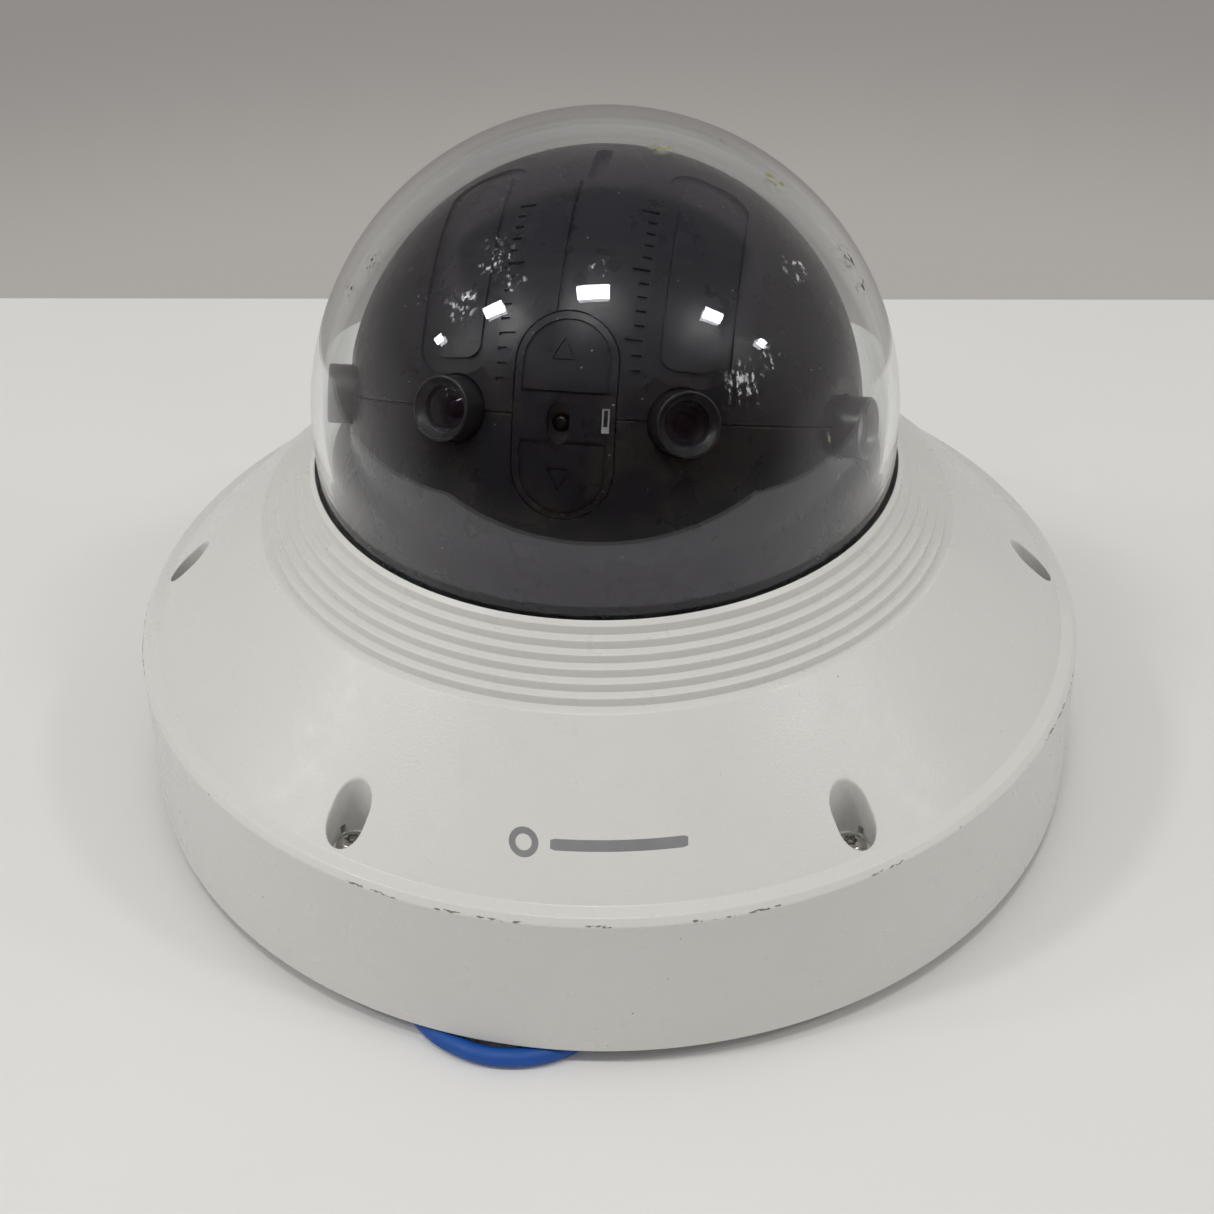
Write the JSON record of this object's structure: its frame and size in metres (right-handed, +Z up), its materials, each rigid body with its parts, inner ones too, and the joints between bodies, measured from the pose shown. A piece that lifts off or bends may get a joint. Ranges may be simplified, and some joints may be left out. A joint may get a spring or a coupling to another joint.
{
  "type": "dome security camera",
  "caption": "Ceiling dome camera: cone-shaped cast cover with a clear bubble over a black multi-lens ball that pans and tilts on a yoke, with a short network lead.",
  "frame": {"origin": "centre of the base on the plane that its three mounting feet stand on, without the network lead", "axes": "+Z up along the dome's axis, the dome on top as on a table; -Y is the front, where the middle of the lens row looks when panned to zero; +X is to the right seen from the front"},
  "size_m": [0.222, 0.2234, 0.1529],
  "materials": {
    "white_paint": "fine textured white powder paint, satin",
    "black_plastic": "polished black",
    "clear_plastic": "clear polycarbonate, polished",
    "lens_glass": "coated glass",
    "rubber": "matt black rubber",
    "steel": "plain stainless steel",
    "cast_case": "as-cast aluminium alloy",
    "circuit_board": "green solder mask",
    "green_plastic": "moulded green nylon",
    "aluminium": "machined",
    "blue_jacket": "smooth soft blue jacket",
    "plug_plastic": "clear moulded plastic"
  },
  "bodies": {
    "base": {"lower_case": "cast_case", "cover_seal": "rubber", "inner_liner": "black_plastic", "main_board": "circuit_board", "board_screw_1": "steel", "board_screw_2": "steel", "board_screw_3": "steel", "board_screw_4": "steel", "network_jack": "steel", "power_terminal": "green_plastic", "alarm_terminal": "green_plastic", "card_slot": "steel", "reset_switch": "black_plastic", "heat_sink": "aluminium", "friction_washer": "plug_plastic", "pan_pivot_bolt": "steel", "cable_boot": "rubber", "network_lead": "blue_jacket", "lead_plug": "plug_plastic"},
    "cover": {"top_cover": "white_paint", "dome_bubble": "clear_plastic", "dome_gasket": "rubber", "dome_clamp_ring": "aluminium", "clamp_screw_1": "steel", "clamp_screw_2": "steel", "clamp_screw_3": "steel", "clamp_screw_4": "steel", "clamp_screw_5": "steel", "clamp_screw_6": "steel", "cover_screw_1": "steel", "cover_screw_2": "steel", "cover_screw_3": "steel", "cover_screw_4": "steel", "cover_screw_5": "steel", "cover_screw_6": "steel"},
    "turntable": {"pan_turntable": "black_plastic", "yoke_arm_left": "steel", "yoke_arm_right": "steel", "tilt_pin_left": "steel", "tilt_pin_right": "steel"},
    "ball": {"ball_shell_upper": "black_plastic", "ball_shell_lower": "black_plastic", "tilt_lock_plate": "black_plastic", "sensor_frame": "aluminium", "lens_barrel_1": "black_plastic", "lens_barrel_2": "black_plastic", "lens_barrel_3": "black_plastic", "lens_barrel_4": "black_plastic", "lens_glass_1": "lens_glass", "lens_glass_2": "lens_glass", "lens_glass_3": "lens_glass", "lens_glass_4": "lens_glass", "sensor_board_1": "circuit_board", "sensor_board_2": "circuit_board", "sensor_board_3": "circuit_board", "sensor_board_4": "circuit_board"},
    "lock_screw": {"tilt_lock_screw": "steel"},
    "card": {"memory_card": "black_plastic"},
    "button": {"reset_button": "plug_plastic"}
  },
  "joints": [
    {"name": "cover_lift", "type": "slide", "parent": "base", "child": "cover", "axis": [0, 0, 1], "range_m": [0, 0.15]},
    {"name": "pan", "type": "hinge", "parent": "base", "child": "turntable", "pos_m": [0, 0, 0.0273], "axis": [0, 0, 1], "range_deg": [-167.4, 182.6]},
    {"name": "tilt", "type": "hinge", "parent": "turntable", "child": "ball", "pos_m": [0, 0, 0.0883], "axis": [-0.9912, 0.132, 0], "range_deg": [-23.4, 31.6]},
    {"name": "tilt_lock_turn", "type": "hinge", "parent": "ball", "child": "lock_screw", "pos_m": [-0.00689, -0.04408, 0.11094], "axis": [-0.116, -0.8718, 0.4759], "range_deg": [-180, 180]},
    {"name": "card_pull", "type": "slide", "parent": "base", "child": "card", "axis": [0.5736, -0.8192, 0], "range_m": [0, 0.01]},
    {"name": "reset_press", "type": "slide", "parent": "base", "child": "button", "axis": [0, 0, -1], "range_m": [0, 0.0006], "stiffness_N_per_m": 1500}
  ]
}
